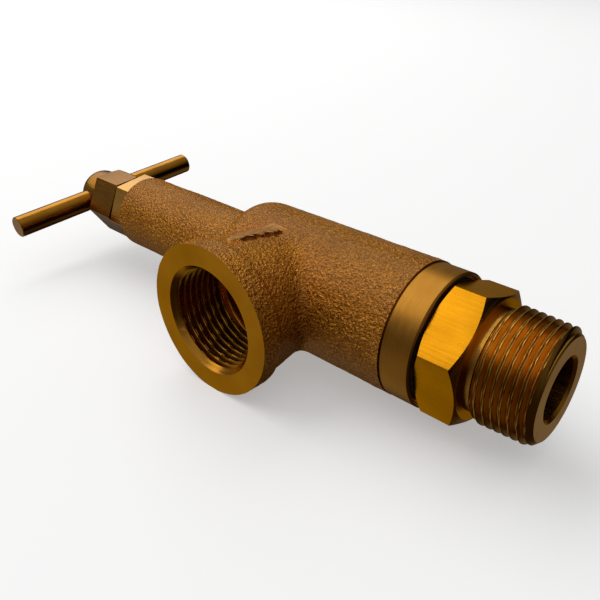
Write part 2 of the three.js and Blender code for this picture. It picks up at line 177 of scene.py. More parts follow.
# The ragged hollow that runs under the torn edge
HOLLOW_MIDDLE = -13.8
HOLLOW_HALF_LENGTH = 6.0
HOLLOW_ASIDE = 0.30
HOLLOW_SUNK = 0.10
HOLLOW_RADIUS = 0.75
HOLLOW_RAGGED = 0.25
HOLLOW_CELL = 1.1
HOLLOW_LOWEST = 10
FAR_AWAY = 5.0

# Machined places on the casting. The band has a groove at its foot, with a slanted wall.
BAND_RADIUS = 16.1
BAND_START = 37.6
BAND_GROOVE = 0.35
BAND_GROOVE_FLOOR = 0.28
BAND_GROOVE_DEPTH = 0.2
BAND_CHAMFER = 0.35
BORE_RADIUS = 12.6
BORE_START = -12.5
SPRING_BORE_RADIUS = 8.3
SPRING_BORE_START = -59.5
GASKET_RECESS_RADIUS = 15.2
GASKET_PLAY = 0.05
SCREW_CLEARANCE = 0.05

# Pipe threads, 3/4 inch, and the M12 adjusting thread
THREAD_FLAT = 0.13
THREAD_ROWS = 18
PIPE_PITCH = 1.814
PIPE_DEPTH = 1.162
PIPE_TAPER = 1 / 32
OUTLET_THREAD_RADIUS = 13.22
OUTLET_MOUTH_RADIUS = 13.46
OUTLET_THREAD_DEPTH = 16.0
OUTLET_RUN_IN = 2.5
OUTLET_RUN_OUT = 0.8
OUTLET_PLAIN_END = 1.0
INLET_THREAD_RADIUS = 12.95
THREAD_RELIEF_RADIUS = 11.9
THREAD_START = 57.0
END_FACE_RADIUS = 11.45
ADJUST_PITCH = 1.75
ADJUST_DEPTH = 0.95
SCREW_RADIUS = 6.0

# Inlet adapter: hexagon, the shank inside the barrel, and the bore with its seat recess
HEX_END = 55.3
HEX_FACE_RADIUS = 13.9
HEX_CHAMFER = 1.65
SHANK_RADIUS = 12.5
SHANK_START = 31.0
SHANK_NOSE_RADIUS = 10.3
SEAT_RECESS_RADIUS = 8.7
SEAT_RECESS_END = 24.05
NOZZLE_BORE = 6.87
BORE_CHAMFER = 0.66

# Adjusting screw's head, and the socket for the thrust ball in its tip
HEAD_RADIUS = 7.3
HEAD_DOME = 4.5
HEAD_ROUNDING = 0.6
HEAD_TO_NUT = 1.4
SOCKET_RADIUS = 2.55
SOCKET_DEPTH = 1.95
TIP_CHAMFER = 1.0

# Cross bar: reach is measured from the screw's axis, and the tilt is about the screw
BAR_X = sum(along("t_bar")) / 2
BAR_RADIUS = 3.2
BAR_NEAR_REACH = 31.3
BAR_FAR_REACH = 32.9
BAR_TILT = 0.09
BAR_CHAMFER = 0.25

# Hexagons: size across flats, corner rounding, and turn of the first corner from +Y
ADAPTER_HEX = (28.575, 0.35, 0.762)
NECK_HEX = (18.3, 0.25, 0.147)
NUT_HEX = (18.06, 0.25, 1.14)
NECK_HEX_LENGTH = 6.0

# The locknut's flats are milled off centre on a round stock
NUT_STOCK_RADIUS = 9.9
NUT_STOCK_OFFSET = 2.0
NUT_CHAMFER = 0.45
NUT_HOLE_CHAMFER = 0.6

# Rings: inner and outer radius, and the rounding of the outer edges
WASHER_RADII = (6.4, 8.95)
GASKET_RADII = (12.75, 14.65)
RING_ROUNDING = 0.2

# Spring: turns in all, closed turns at each end with their pitch, radius of the centre line and
# of the wire, and steps in a turn
COILS = 11
CLOSED_COILS = 1.25
CLOSED_PITCH = 2.3
COIL_RADIUS = 5.45
WIRE_RADIUS = 1.05
COIL_STEPS = 48

# Camera
CAMERA_AT = (0.03227, -0.11153, 0.07879)
CAMERA_AZIMUTH = math.radians(40.05)
CAMERA_ELEVATION = math.radians(28.93)
CAMERA_ROLL = math.radians(1.643)
LENS = 39.66
SENSOR_WIDTH = 36
SHIFT_X = -0.0436
SHIFT_Y = -0.0092

# Floor and backdrop
FLOOR_REACH = 4.0
FLOOR_GREY = (0.86, 0.86, 0.86)
FLOOR_GLOW = 0.36
BACKDROP = (0.86, 0.86, 0.86)

# Walls of the studio: direction, angle in degrees at which the wall fades out, and the radiance
# that its middle adds. The last one takes light away, as a dark wall does.
WORLD_LOBES = (
    ((-0.50, 0.86, 0.04), 22, 0.20),
    ((-0.42, -0.02, -0.90), 26, 0.24),
    ((-0.70, -0.52, -0.48), 48, 0.36),
    ((0.28, 0.80, -0.50), 32, 0.26),
    ((0.30, -0.60, 0.75), 50, 0.10),
    ((0.65, 0.67, 0.15), 60, -0.12),
)


# Mesh helpers ---------------------------------------------------------------------------

def mesh_object(name, points, faces, materials):
    mesh = bpy.data.meshes.new(name)
    mesh.from_pydata(points, [], faces)
    mesh.validate()
    for item in materials:
        mesh.materials.append(item)
    obj = bpy.data.objects.new(name, mesh)
    bpy.context.scene.collection.objects.link(obj)
    return obj


def grid_faces(rows, columns):
    """Quads between rows of a closed ring of columns."""
    row, column = np.meshgrid(np.arange(rows - 1), np.arange(columns), indexing="ij")
    following = (column + 1) % columns
    a = row * columns + column
    b = row * columns + following
    return np.stack([a, b, b + columns, a + columns], axis=-1).reshape(-1, 4)


def revolved(name, profile, material, count=128, radius_of=None):
    """A solid about X from [x, radius] points that start and end on the axis."""
    inner = np.array(profile[1:-1], dtype=float)
    angle = np.linspace(0, 2 * math.pi, count, endpoint=False)
    x = np.repeat(inner[:, :1], count, axis=1)
    radius = np.repeat(inner[:, 1:], count, axis=1)
    if radius_of is not None:
        radius = radius_of(x, angle[None, :], radius)
    points = np.stack([x, radius * np.cos(angle), radius * np.sin(angle)], axis=-1)
    points = points.reshape(-1, 3).tolist()
    rows = len(inner)
    faces = grid_faces(rows, count).tolist()
    points.append([profile[0][0], 0, 0])
    points.append([profile[-1][0], 0, 0])
    first, last = rows * count, rows * count + 1
    top = (rows - 1) * count
    for i in range(count):
        j = (i + 1) % count
        faces.append([first, j, i])
        faces.append([last, top + i, top + j])
    return faced_outward(mesh_object(name, points, faces, [material]))


def faced_outward(obj):
    """The same solid, with its faces turned outward."""
    work = bmesh.new()
    work.from_mesh(obj.data)
    if work.calc_volume(signed=True) < 0:
        bmesh.ops.reverse_faces(work, faces=work.faces)
    work.to_mesh(obj.data)
    work.free()
    return obj


def towards_outlet(obj):
    """Turns a solid made about +X so that it points towards -Y."""
    obj.data.transform(Matrix.Rotation(-math.pi / 2, 4, "Z"))
    return obj


def hexagon(name, start, end, spec, material):
    """A hexagonal bar along X with rounded corners."""
    flats, rounding, turn = spec
    steps = 5
    points = []
    for corner in range(6):
        middle = turn + corner * math.pi / 3
        reach = (flats / 2 - rounding) / math.cos(math.pi / 6)
        for i in range(steps):
            angle = middle + (i / (steps - 1) - 0.5) * math.pi / 3
            points.append((
                reach * math.cos(middle) + rounding * math.cos(angle),
                reach * math.sin(middle) + rounding * math.sin(angle),
            ))
    count = len(points)
    ends = [(x, y, z) for x in (start, end) for y, z in points]
    faces = grid_faces(2, count).tolist()
    faces.append(list(range(count))[::-1])
    faces.append(list(range(count, 2 * count)))
    return faced_outward(mesh_object(name, ends, faces, [material]))


def combine(obj, other, operation):
    """obj joined with, cut by or limited to the other solid, which is used up."""
    modifier = obj.modifiers.new("combine", "BOOLEAN")
    modifier.operation = operation
    modifier.solver = "MANIFOLD"
    modifier.material_mode = "TRANSFER"
    modifier.object = other
    graph = bpy.context.evaluated_depsgraph_get()
    graph.update()
    result = bpy.data.meshes.new_from_object(obj.evaluated_get(graph), depsgraph=graph)
    obj.modifiers.clear()
    obj.data = result
    bpy.data.objects.remove(other, do_unlink=True)
    return obj


def smooth(obj, degrees):
    """Smooth shading, with edges sharper than this many degrees kept crisp."""
    for polygon in obj.data.polygons:
        polygon.use_smooth = True
    obj.data.set_sharp_from_angle(angle=math.radians(degrees))
    return obj


def to_frame(obj, body, slot, *nodes):
    """Takes a finished piece from valve millimetres to the frame, puts it on its body, and hides the CAD
    nodes that it replaces.
    """
    obj.data.transform(Matrix.Translation((OUTLET_X, 0, 0)) @ Matrix.Scale(MM, 4))
    obj.data.update()
    if body is not None:
        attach(obj, body)
    if nodes:
        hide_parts(*nodes)
    return obj


def arc(center, radius, start, end, steps):
    """Points [x, r] on an arc, with angles in degrees from +x towards +r."""
    angles = np.radians(np.linspace(start, end, steps))
    return [[center[0] + radius * math.cos(a), center[1] + radius * math.sin(a)] for a in angles]


# Threads --------------------------------------------------------------------------------

def thread_height(phase):
    """Height of a rounded V thread, 0 at the root and 1 at the crest, for a phase in turns."""
    wave = np.abs(((phase + 0.5) % 1.0) - 0.5) * 2
    return np.clip((1 - wave - THREAD_FLAT) / (1 - 2 * THREAD_FLAT), 0, 1)


def threaded(name, start, end, crest, root, pitch, material, count=144, taper=0.0, lead=None):
    """A right-handed threaded rod. lead, if given, changes its radius near the ends."""
    rows = int((end - start) / pitch * THREAD_ROWS)
    xs = np.linspace(start, end, rows)
    profile = [[start, 0]] + [[x, crest] for x in xs] + [[end, 0]]

    def radius_of(x, angle, radius):
        height = thread_height(x / pitch - angle / (2 * math.pi))
        result = root + (end - x) * taper + (crest - root) * height
        if lead is not None:
            result = lead(x, result)
        return result

    return revolved(name, profile, material, count, radius_of)


# Materials ------------------------------------------------------------------------------

def node(tree, kind, **values):
    """A new shader node, with its settings and input sockets set by name."""
    item = tree.nodes.new(kind)
    for key, value in values.items():
        if hasattr(item, key) and key not in item.inputs:
            setattr(item, key, value)
        else:
            item.inputs[key].default_value = value
    return item


def noise(tree, scale, detail=2.0, roughness=0.5, stretch=(1, 1, 1), distortion=0.0):
    """A noise texture on the object's own coordinates, with scale in waves per metre."""
    where = node(tree, "ShaderNodeTexCoord")
    mapping = node(tree, "ShaderNodeMapping")
    mapping.inputs["Scale"].default_value = stretch
    texture = node(tree, "ShaderNodeTexNoise", Scale=scale, Detail=detail, Roughness=roughness)
    texture.inputs["Distortion"].default_value = distortion
    tree.links.new(where.outputs["Object"], mapping.inputs["Vector"])
    tree.links.new(mapping.outputs["Vector"], texture.inputs["Vector"])
    return texture.outputs["Fac"]


def ramp(tree, value, stops):
    """A colour for a value, from (place, colour) stops."""
    item = node(tree, "ShaderNodeValToRGB")
    elements = item.color_ramp.elements
    while len(elements) < len(stops):
        elements.new(0.5)
    for element, (place, color) in zip(elements, stops):
        element.position = place
        element.color = (*color, 1)
    tree.links.new(value, item.inputs["Fac"])
    return item.outputs["Color"]


def remap(tree, value, low, high, new_low, new_high):
    """A value stretched so that low to high becomes new_low to new_high."""
    item = node(tree, "ShaderNodeMapRange", **{
        "From Min": low, "From Max": high, "To Min": new_low, "To Max": new_high})
    tree.links.new(value, item.inputs["Value"])
    return item.outputs["Result"]


def mix(tree, factor, first, second, blend="MIX"):
    """Two colours mixed. A Mix node has sockets of every kind, and these are the colour ones."""
    item = node(tree, "ShaderNodeMix", data_type="RGBA", blend_type=blend)
    factor_in, first_in, second_in, color_out = 0, 6, 7, 2
    for key, value in ((factor_in, factor), (first_in, first), (second_in, second)):
        if isinstance(value, (int, float)):
            item.inputs[key].default_value = value
        elif isinstance(value, tuple):
            item.inputs[key].default_value = (*value, 1)
        else:
            tree.links.new(value, item.inputs[key])
    return item.outputs[color_out]


def bump(tree, height, distance, strength=1.0, under=None):
    """A normal for a bumpy surface, on top of the bumps of another normal if one is given."""
    item = node(tree, "ShaderNodeBump", Strength=strength, Distance=distance)
    tree.links.new(height, item.inputs["Height"])
    if under is not None:
        tree.links.new(under, item.inputs["Normal"])
    return item.outputs["Normal"]


def new_material(name, metallic, roughness=0.4, color=(0.5, 0.5, 0.5)):
    material = bpy.data.materials.new(name)
    material.use_nodes = True
    tree = material.node_tree
    shader = tree.nodes["Principled BSDF"]
    shader.inputs["Metallic"].default_value = metallic
    shader.inputs["Roughness"].default_value = roughness
    shader.inputs["Base Color"].default_value = (*color, 1)
    return material, tree, shader


def cast_bronze():
    """Sand-cast skin: brown bronze with a grain of about half a millimetre."""
    material, tree, shader = new_material("cast_bronze", 1.0)
    shader.inputs["Specular Tint"].default_value = (1.0, 0.78, 0.48, 1)
    shader.inputs["Coat Weight"].default_value = 0.22
    shader.inputs["Coat Roughness"].default_value = 0.35
    grain = noise(tree, 1500, detail=3, roughness=0.6)
    coarse = noise(tree, 420, detail=3, roughness=0.6)
    patches = noise(tree, 60, detail=2)
    tone = ramp(tree, grain, [
        (0.30, (0.36, 0.130, 0.010)),
        (0.50, (0.58, 0.225, 0.022)),
        (0.70, (0.86, 0.380, 0.065)),
    ])
    stain = ramp(tree, patches, [(0.35, (0.86, 0.83, 0.80)), (0.65, (1.0, 1.0, 1.0))])
    color = mix(tree, 1.0, tone, stain, "MULTIPLY")
    tree.links.new(color, shader.inputs["Base Color"])
    tree.links.new(remap(tree, grain, 0.3, 0.7, 0.36, 0.22), shader.inputs["Roughness"])
    rough = bump(tree, coarse, distance=0.00025, strength=0.6)
    skin = bump(tree, grain, distance=0.0011, strength=1.0, under=rough)
    tree.links.new(skin, shader.inputs["Normal"])
    return material


def gate_skin():
    """The rubbed top of the ground-off gate, smoother and a little greyer than the skin."""
    material, tree, shader = new_material("gate_skin", 1.0, 0.5)
    streaks = noise(tree, 900, detail=3, stretch=(1, 0.3, 1))
    color = ramp(tree, streaks, [(0.3, (0.34, 0.145, 0.028)), (0.7, (0.54, 0.26, 0.07))])
    tree.links.new(color, shader.inputs["Base Color"])
    tree.links.new(bump(tree, streaks, distance=0.0002, strength=0.8), shader.inputs["Normal"])
    return material


def machined(name, dark, light, roughness, stretch, tool_scale=2600, depth=0.00003, edge=(1, 1, 1)):
    """A turned, milled or drawn surface: fine tool marks drawn out along one direction."""
    material, tree, shader = new_material(name, 1.0)
    shader.inputs["Specular Tint"].default_value = (*edge, 1)
    marks = noise(tree, tool_scale, detail=2, stretch=stretch)
    cloud = noise(tree, 90, detail=3)
    tone = mix(tree, marks, dark, light)
    tint = ramp(tree, cloud, [(0.35, (0.84, 0.80, 0.76)), (0.62, (1.0, 1.0, 1.0))])
    tree.links.new(mix(tree, 1.0, tone, tint, "MULTIPLY"), shader.inputs["Base Color"])
    spread = remap(tree, marks, 0.3, 0.7, roughness - 0.05, roughness + 0.07)
    tree.links.new(spread, shader.inputs["Roughness"])
    tree.links.new(bump(tree, marks, distance=depth, strength=0.8), shader.inputs["Normal"])
    return material


def rubber():
    """Dull black rubber with a brown cast."""
    material, tree, shader = new_material("black_rubber", 0.0, 0.7)
    shader.inputs["Specular IOR Level"].default_value = 0.15
    grain = noise(tree, 1800, detail=2)
    color = ramp(tree, grain, [(0.3, (0.008, 0.005, 0.003)), (0.7, (0.024, 0.015, 0.008))])
    tree.links.new(color, shader.inputs["Base Color"])
    tree.links.new(bump(tree, grain, distance=0.00004, strength=0.5), shader.inputs["Normal"])
    return material


def plastic():
    """Off-white seal plastic."""
    material, tree, shader = new_material("white_plastic", 0.0, 0.45)
    cloud = noise(tree, 300, detail=2)
    color = ramp(tree, cloud, [(0.3, (0.70, 0.68, 0.62)), (0.7, (0.82, 0.80, 0.75))])
    tree.links.new(color, shader.inputs["Base Color"])
    tree.links.new(bump(tree, cloud, distance=0.00003, strength=0.4), shader.inputs["Normal"])
    return material


# Scale of the tool marks on each axis. A small scale draws them out that way: round an axis
# as turning leaves them, or along an axis as milling and drawing do.
AROUND_X = (1, 0.05, 0.05)
AROUND_Y = (0.05, 1, 0.05)
ALONG_X = (0.04, 1, 1)
ALONG_Y = (1, 0.04, 1)
EVEN = (1, 1, 1)

# Tint of a metal's reflection at grazing angles
GOLDEN = (1.0, 0.75, 0.4)
WARM = (1.0, 0.86, 0.62)

CAST = cast_bronze()
GATE = gate_skin()
TURNED = machined("turned_bronze", (0.48, 0.21, 0.020), (0.68, 0.31, 0.04), 0.24, AROUND_Y, edge=GOLDEN)
BAND = machined("band_bronze", (0.36, 0.16, 0.018), (0.48, 0.22, 0.036), 0.36, AROUND_X, edge=WARM)
FACED = machined("faced_bronze", (0.54, 0.23, 0.014), (0.64, 0.28, 0.02), 0.30, AROUND_Y, edge=GOLDEN)
HEX_BRASS = machined("milled_brass", (0.53, 0.22, 0.004), (0.70, 0.29, 0.008), 0.22, ALONG_X, edge=GOLDEN)
THREAD_BRASS = machined("threaded_brass", (0.44, 0.21, 0.03), (0.58, 0.29, 0.05), 0.24, AROUND_X, edge=WARM)
NECK_BRASS = machined("neck_brass", (0.50, 0.25, 0.036), (0.72, 0.39, 0.09), 0.20, ALONG_X)
DARK_BRASS = machined("drawn_brass", (0.36, 0.15, 0.012), (0.52, 0.23, 0.024), 0.20, ALONG_Y)
NUT_BRASS = machined("nut_brass", (0.24, 0.10, 0.006), (0.36, 0.155, 0.014), 0.26, ALONG_X)
DULL_BRASS = machined("dull_brass", (0.22, 0.09, 0.008), (0.32, 0.14, 0.015), 0.40, AROUND_X)
STEEL = machined("steel", (0.46, 0.46, 0.47), (0.66, 0.66, 0.68), 0.26, AROUND_X)
SPRING_STEEL = machined("spring_steel", (0.30, 0.30, 0.31), (0.46, 0.46, 0.48), 0.34, EVEN)
RUBBER = rubber()
PLASTIC = plastic()


# Body casting ---------------------------------------------------------------------------

def lattice_noise(axes, cell, generator):
    """Smooth noise of about unit height on a grid, from a coarse random lattice."""
    sizes = [int((axis[-1] - axis[0]) / cell) + 3 for axis in axes]
    values = generator.standard_normal(sizes).astype(np.float32)
    for dimension, axis in enumerate(axes):
        place = (axis - axis[0]) / cell
        low = np.floor(place).astype(int)
        t = place - low
        t = t * t * (3 - 2 * t)
        weights = np.zeros((len(axis), sizes[dimension]), dtype=np.float32)
        weights[np.arange(len(axis)), low] = 1 - t
        weights[np.arange(len(axis)), low + 1] = t
        values = np.moveaxis(np.tensordot(weights, values, axes=(1, dimension)), 0, dimension)
    return values


def round_bar(reach, radial, start, end, radius, rounding):
    """Signed distance to a round bar with rounded ends."""
    middle = (start + end) / 2
    across = radial - (radius - rounding)
    lengthwise = np.abs(reach - middle) - ((end - start) / 2 - rounding)
    outside = np.hypot(np.maximum(across, 0), np.maximum(lengthwise, 0))
    inside = np.minimum(np.maximum(across, lengthwise), 0)
    return outside + inside - rounding


def join_smoothly(a, b, width):
    """The smaller of two distances, rounded off where they come within width of each other."""
    h = np.maximum(width - np.abs(a - b), 0) / width
    return np.minimum(a, b) - h * h * width / 4


def outlet_depth(x, y, z):
    """Height above the outlet neck's cone."""
    return np.hypot(x, z) - (OUTLET_ROOT_RADIUS - OUTLET_FLARE * y)


def gate_edges(y):
    """The x of the ribbon's bowed left edge and of its torn right edge, towards the inlet."""
    left = GATE_LEFT + GATE_LEFT_BOW * ((y - GATE_LEFT_MIDDLE) / GATE_LEFT_SPAN) ** 2
    wave = 0
    for strength, spacing, crest in TEETH:
        wave = wave + strength * np.cos(2 * math.pi * (y - crest) / spacing)
    height = TEETH_HEIGHT * np.clip((y - TEETH_START) / TEETH_RUN_IN, TEETH_LEAST, 1)
    right = GATE_RIGHT + GATE_RIGHT_SLANT * (y - GATE_RIGHT_MIDDLE) + height * wave
    return left, right


def gate_distance(x, y, z):
    """The ground-off gate: a thin ribbon that follows the top of the outlet's neck."""
    left, right = gate_edges(y)
    top = outlet_depth(x, y, z) - GATE_HEIGHT
    beyond = np.abs(y - (GATE_START + GATE_END) / 2) - (GATE_END - GATE_START) / 2
    across = np.maximum(left - x, x - right)
    return np.maximum(np.maximum(across, top), np.maximum(beyond, GATE_LOWEST - z))


def hollow_distance(x, y, z, ragged):
    """The ragged hollow under the ribbon's torn edge."""
    _, right = gate_edges(y)
    beyond = np.abs(y - HOLLOW_MIDDLE) - HOLLOW_HALF_LENGTH
    from_middle = np.hypot(x - right - HOLLOW_ASIDE, outlet_depth(x, y, z) + HOLLOW_SUNK)
    round_hollow = from_middle - (HOLLOW_RADIUS + HOLLOW_RAGGED * ragged)
    return np.where(z > HOLLOW_LOWEST, np.maximum(round_hollow, beyond), FAR_AWAY)


def barrel_distance(x, y, z):
    """The barrel, which is cast a little off the bore's axis."""
    radial = np.hypot(y - BARREL_OFFSET_Y, z - BARREL_OFFSET_Z)
    return round_bar(x, radial, BARREL_START, BODY_END + INLET_STOCK, BARREL_RADIUS, SHOULDER_RADIUS)


def neck_distance(x, y, z):
    radial = np.hypot(y, z)
    return round_bar(x, radial, NECK_END - NECK_STOCK, NECK_INNER_END, NECK_RADIUS, NECK_ROUNDING)


def outlet_distance(x, y, z):
    """The outlet's cone with the collar round its end."""
    cone = np.maximum(outlet_depth(x, y, z), np.maximum(y, -y - OUTLET_REACH))
    radial = np.hypot(x, z)
    end = OUTLET_REACH + OUTLET_STOCK
    collar = round_bar(-y, radial, COLLAR_BACK, end, COLLAR_RADIUS, COLLAR_ROUNDING)
    return join_smoothly(cone, collar, COLLAR_JOIN)


def cast_distance(axes):
    """Signed distance to the whole casting before it is machined, on a grid."""
    x, y, z = np.meshgrid(*axes, indexing="ij", sparse=True)
    generator = np.random.default_rng(NOISE_SEED)
    shape = join_smoothly(barrel_distance(x, y, z), neck_distance(x, y, z), NECK_JOIN)
    shape = join_smoothly(shape, outlet_distance(x, y, z), OUTLET_JOIN)
    shape = join_smoothly(shape, gate_distance(x, y, z), GATE_JOIN)
    ragged = lattice_noise(axes, HOLLOW_CELL, generator)
    shape = np.maximum(shape, -hollow_distance(x, y, z, ragged))
    for cell, height in SKIN_NOISE:
        shape = shape + height * lattice_noise(axes, cell, generator)
    return shape


def cast_solid():
    """The casting before it is machined, meshed from its distance grid."""
    low = np.array([
        NECK_END - GRID_END_MARGIN,
        -OUTLET_REACH - GRID_END_MARGIN,
        -COLLAR_RADIUS - GRID_SIDE_MARGIN,
    ])
    high = np.array([
        BODY_END + GRID_END_MARGIN,
        BARREL_RADIUS + GRID_SIDE_MARGIN,
        COLLAR_RADIUS + GRID_SIDE_MARGIN,
    ])
    axes = [np.arange(a, b, VOXEL, dtype=np.float32) for a, b in zip(low, high)]
    distance = np.ascontiguousarray(cast_distance(axes), dtype=np.float32)
    # The outermost layer stays outside the shape, so that the surface closes
    for dimension in range(3):
        edge = np.moveaxis(distance, dimension, 0)
        edge[0] = np.maximum(edge[0], VOXEL)
        edge[-1] = np.maximum(edge[-1], VOXEL)
    grid = openvdb.FloatGrid(background=3 * VOXEL)
    grid.copyFromArray(distance)
    points, quads = grid.convertToQuads(isovalue=0.0)
    points = points * VOXEL + low
    return faced_outward(mesh_object("body_casting_skin", points.tolist(), quads.tolist(), [CAST]))


def on_gate(center, normal):
    """Whether a face is on the rubbed top of the gate ribbon."""
    x, y, z = center
    if z < GATE_LOWEST or not GATE_START < y < GATE_END:
        return False
    left, right = gate_edges(y)
    raised = outlet_depth(x, y, z) > GATE_HEIGHT * GATE_RUBBED_SHARE
    return left < x < right and raised and normal.z > GATE_RUBBED_TILT


def gate_faces(obj):
    """Gives the top of the gate ribbon its own finish."""
    obj.data.materials.append(GATE)
    index = len(obj.data.materials) - 1
    for polygon in obj.data.polygons:
        if on_gate(polygon.center, polygon.normal):
            polygon.material_index = index


def outlet_thread(crest, inner_end):
    """The thread's solid. It narrows to the crest's radius at both ends."""
    root = OUTLET_THREAD_RADIUS

    def fade(x, radius):
        run_in = np.clip((x - inner_end) / OUTLET_RUN_IN, 0, 1)
        run_out = np.clip((OUTLET_REACH - OUTLET_PLAIN_END - x) / OUTLET_RUN_OUT, 0, 1)
        return np.minimum(radius, crest + (root - crest) * np.minimum(run_in, run_out))

    return threaded(
        "outlet_thread", inner_end, OUTLET_REACH + OVERLAP, root, crest, PIPE_PITCH, TURNED, lead=fade)


def outlet_mouth(crest):
    """The chamfer at the outlet's mouth."""
    chamfer = OUTLET_MOUTH_RADIUS - crest
    return revolved("outlet_mouth", [
        [OUTLET_REACH - chamfer, 0],
        [OUTLET_REACH - chamfer, crest],
        [OUTLET_REACH + OVERLAP, OUTLET_MOUTH_RADIUS + OVERLAP],
        [OUTLET_REACH + OVERLAP, 0],
    ], TURNED)


def outlet_hollow(crest, inner_end):
    """The passage from the bore to the thread, which ends in a short cone inside the thread."""
    start = 5
    passage = crest - 1
    cone_start, cone_foot = inner_end + 0.5, crest - 0.5
    cone_end, cone_top = inner_end + 2, crest - 0.2
    return revolved("outlet_hollow", [
        [start, 0],
        [start, passage],
        [cone_start, passage],
        [cone_start, cone_foot],
        [cone_end, cone_top],
        [cone_end, 0],
    ], TURNED)


def outlet_facing():
    """The stock beyond the outlet's faced end."""
    return revolved("outlet_facing", [
        [OUTLET_REACH, 0],
        [OUTLET_REACH, COLLAR_RADIUS + CUT_PAST_SIDE],
        [OUTLET_REACH + CUT_PAST_OUTLET, COLLAR_RADIUS + CUT_PAST_SIDE],
        [OUTLET_REACH + CUT_PAST_OUTLET, 0],
    ], FACED)


def outlet_cutter():
    """Everything that machining takes away at the outlet: the faced end, chamfer and thread."""
    crest = OUTLET_THREAD_RADIUS - PIPE_DEPTH
    inner_end = OUTLET_REACH - OUTLET_THREAD_DEPTH
    whole = outlet_thread(crest, inner_end)
    for other in (outlet_mouth(crest), outlet_hollow(crest, inner_end), outlet_facing()):
        whole = combine(whole, other, "UNION")
    return towards_outlet(whole)


def inlet_end_cutter():
    """The stock round the band, a fine groove at the band's foot, and the faced end."""
    groove = BAND_RADIUS - BAND_GROOVE_DEPTH
    outside = BAND_RADIUS + CUT_PAST_BAND
    return revolved("inlet_end", [
        [BODY_END, 0],
        [BODY_END, BAND_RADIUS - BAND_CHAMFER],
        [BODY_END - BAND_CHAMFER, BAND_RADIUS],
        [BAND_START + BAND_GROOVE, BAND_RADIUS],
        [BAND_START + BAND_GROOVE_FLOOR, groove],
        [BAND_START, groove],
        [BAND_START, outside],
        [BODY_END + CUT_PAST_END, outside],
        [BODY_END + CUT_PAST_END, 0],
    ], BAND, count=192)


def bore_cutter():
    """The screw's hole, the spring's bore, the barrel's bore and the gasket's recess."""
    screw_hole = SCREW_RADIUS + SCREW_CLEARANCE
    recess_start = GASKET_START - GASKET_PLAY
    return revolved("bores", [
        [NECK_END - CUT_PAST_END, 0],
        [NECK_END - CUT_PAST_END, screw_hole],
        [SPRING_BORE_START, screw_hole],
        [SPRING_BORE_START, SPRING_BORE_RADIUS],
        [BORE_START, SPRING_BORE_RADIUS],
        [BORE_START, BORE_RADIUS],
        [recess_start, BORE_RADIUS],
        [recess_start, GASKET_RECESS_RADIUS],
        [BODY_END + CUT_PAST_END, GASKET_RECESS_RADIUS],
        [BODY_END + CUT_PAST_END, 0],
    ], TURNED)


def neck_end_cutter():
    """The stock round the hexagon on the neck, and the faced end."""
    end = NECK_END + NECK_HEX_LENGTH
    outside = NECK_RADIUS + CUT_PAST_SIDE
    stock = revolved("neck_stock", [
        [NECK_END - CUT_PAST_END, 0],
        [NECK_END - CUT_PAST_END, outside],
        [end, outside],
        [end, 0],
    ], NECK_BRASS)
    kept = hexagon("neck_hex", NECK_END, end + CUT_PAST_HEX, NECK_HEX, NECK_BRASS)
    return combine(stock, kept, "DIFFERENCE")


def body_casting():
    cutter = bore_cutter()
    for other in (inlet_end_cutter(), neck_end_cutter(), outlet_cutter()):
        cutter = combine(cutter, other, "UNION")
    body = combine(cast_solid(), cutter, "DIFFERENCE")
    gate_faces(body)
    body.name = "body_casting_detailed"
    smooth(body, 38)
    return to_frame(body, "valve_body", "cast_bronze", "body_casting")


# Inlet adapter --------------------------------------------------------------------------

def adapter_hexagon(start):
    """The hexagon, with its corners turned off to a cone at both faces."""
    widest = HEX_FACE_RADIUS + HEX_CHAMFER * math.sqrt(3)
    bar = hexagon("hex", start, HEX_END, ADAPTER_HEX, HEX_BRASS)
    cone = revolved("hex_cone", [
        [start - SLIVER, 0],
        [start - SLIVER, HEX_FACE_RADIUS],
        [start + HEX_CHAMFER, widest],
        [HEX_END - HEX_CHAMFER, widest],
        [HEX_END + SLIVER, HEX_FACE_RADIUS],
        [HEX_END + SLIVER, 0],
    ], THREAD_BRASS, count=192)
    return combine(bar, cone, "INTERSECT")


def adapter_thread():
    """The taper thread. It rises out of the relief and ends in a chamfer at the end face."""
    below_start = 0.6
    chamfer_slope = 1.05
    relief_slope = 1.2

    def lead(x, radius):
        entering = END_FACE_RADIUS + (INLET_END - x) * chamfer_slope
        leaving = THREAD_RELIEF_RADIUS + np.maximum(x - THREAD_START, 0) * relief_slope
        return np.minimum(radius, np.minimum(entering, leaving))

    return threaded(
        "inlet_thread", THREAD_START - below_start, INLET_END, INLET_THREAD_RADIUS,
        INLET_THREAD_RADIUS - PIPE_DEPTH, PIPE_PITCH, THREAD_BRASS, taper=PIPE_TAPER, lead=lead)


def adapter_shank(hex_start):
    """The part inside the barrel, and the relief between the hexagon and the thread."""
    inside_hex = hex_start + OVERLAP
    inside_thread = THREAD_START + OVERLAP / 2
    return revolved("shank", [
        [ADAPTER_INNER, 0],
        [ADAPTER_INNER, SHANK_NOSE_RADIUS],
        [SHANK_START, SHANK_NOSE_RADIUS],
        [SHANK_START, SHANK_RADIUS],
        [inside_hex, SHANK_RADIUS],
        [inside_hex, THREAD_RELIEF_RADIUS],
        [inside_thread, THREAD_RELIEF_RADIUS],
        [inside_thread, 0],
    ], THREAD_BRASS)


